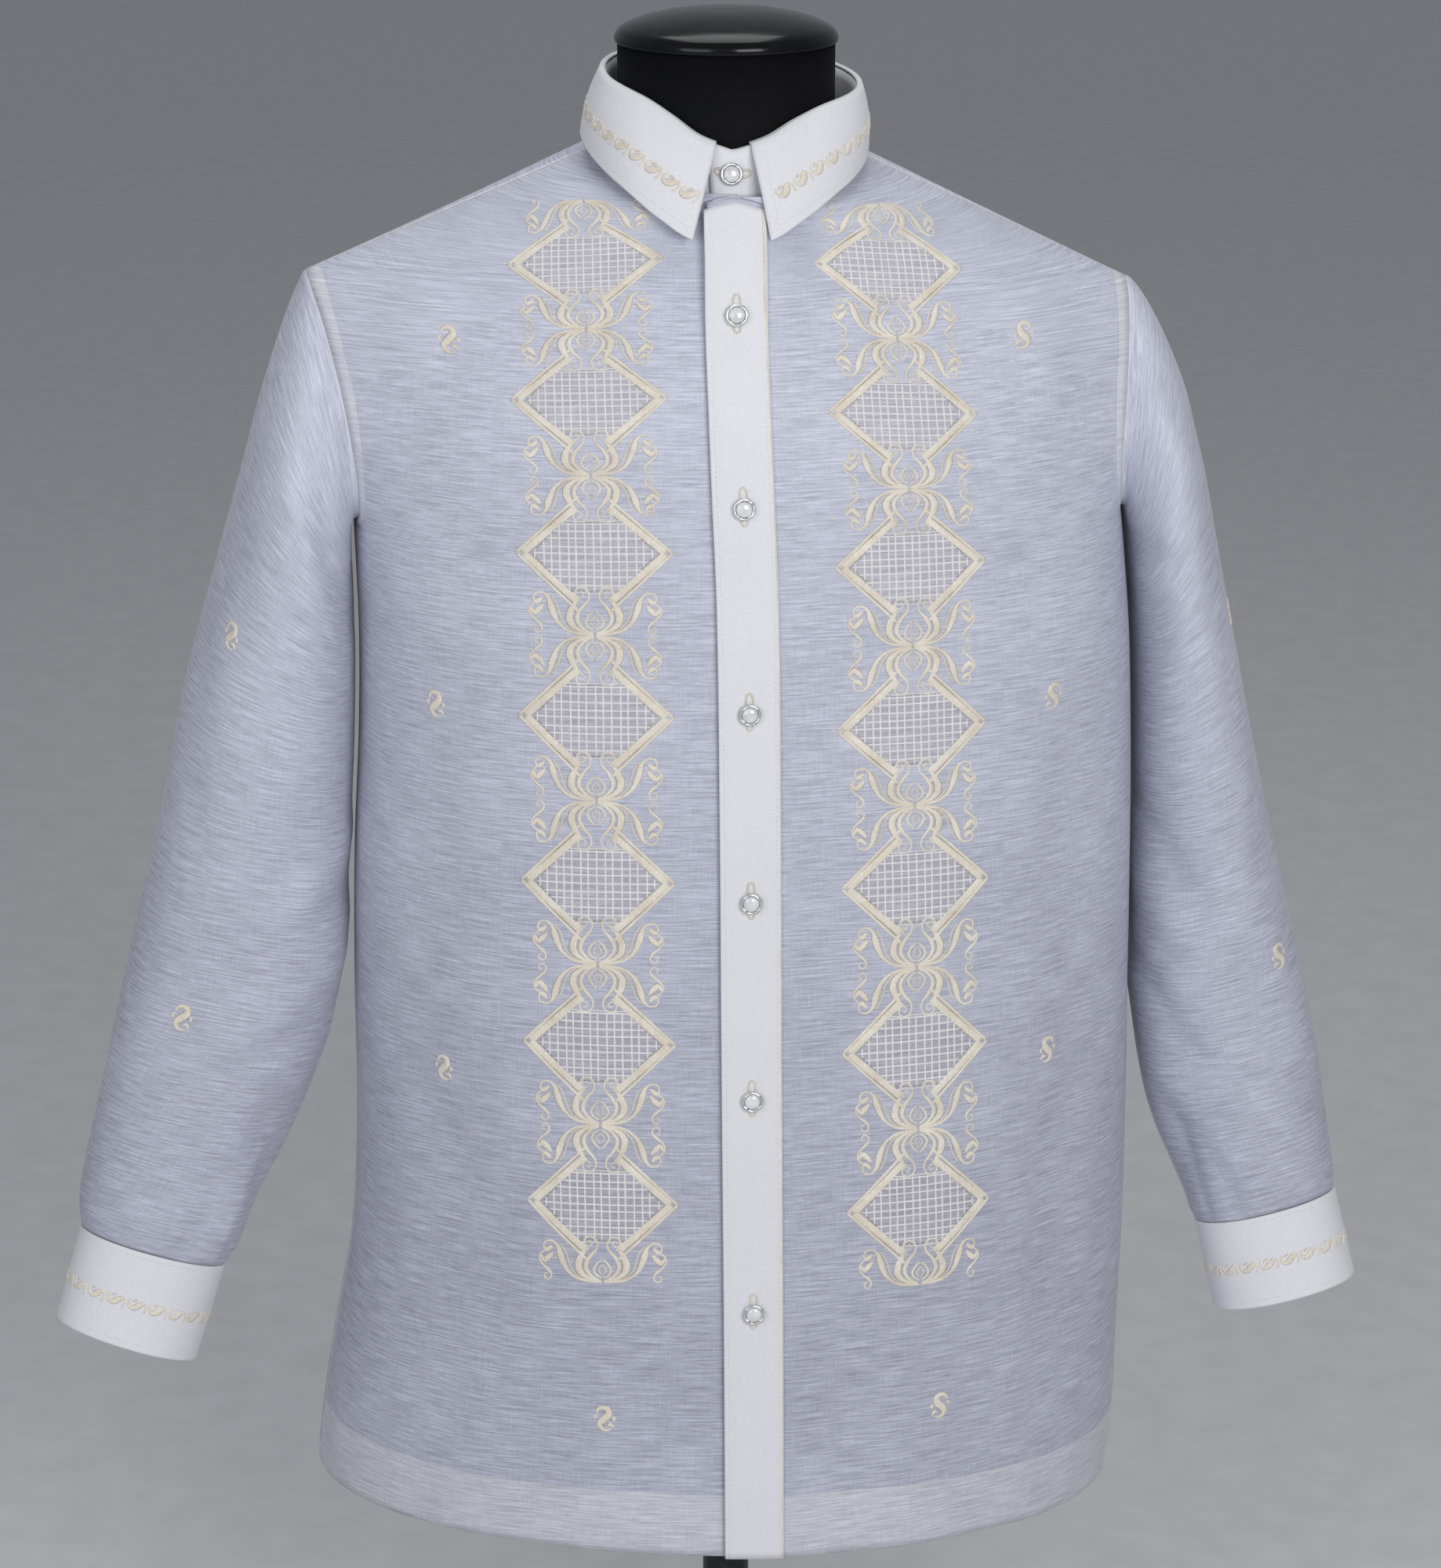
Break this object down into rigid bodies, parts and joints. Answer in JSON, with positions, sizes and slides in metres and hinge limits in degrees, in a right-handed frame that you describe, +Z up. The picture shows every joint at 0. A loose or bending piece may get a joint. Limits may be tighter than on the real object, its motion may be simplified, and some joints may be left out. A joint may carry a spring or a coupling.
{
  "type": "barong tagalog on a limbless dress form",
  "caption": "Sheer embroidered long-sleeved shirt with an opaque collar, placket and cuffs, worn by a black limbless dress form on a round base.",
  "frame": {"origin": "middle of the round base's underside, on the floor", "axes": "+Z up, the shirt faces -Y, +X towards the wearer's left sleeve"},
  "size_m": [0.7668, 0.2906, 1.069],
  "materials": {
    "sheer_cloth": "sheer, slubbed",
    "opaque_cloth": "crisp, matte",
    "embroidery": "satin thread",
    "pearl_button": "pearl in a polished rim",
    "button_rim": "polished",
    "form_cloth": "flocked, matte",
    "form_gloss": "gloss",
    "stand_metal": "satin black"
  },
  "bodies": {
    "root": {"front_right": "sheer_cloth", "front_left": "sheer_cloth", "back": "sheer_cloth", "placket": "opaque_cloth", "collar_stand": "opaque_cloth", "collar_leaf": "opaque_cloth", "sleeve_right": "sheer_cloth", "sleeve_left": "sheer_cloth", "cuff_right": "opaque_cloth", "cuff_left": "opaque_cloth", "button_1": "pearl_button", "button_2": "pearl_button", "button_3": "pearl_button", "button_4": "pearl_button", "button_5": "pearl_button", "button_6": "pearl_button", "button_7": "pearl_button", "cuff_button_right": "pearl_button", "cuff_button_left": "pearl_button", "form_torso": "form_cloth", "form_cap": "form_gloss", "form_pole": "stand_metal", "form_base": "stand_metal"}
  },
  "joints": []
}
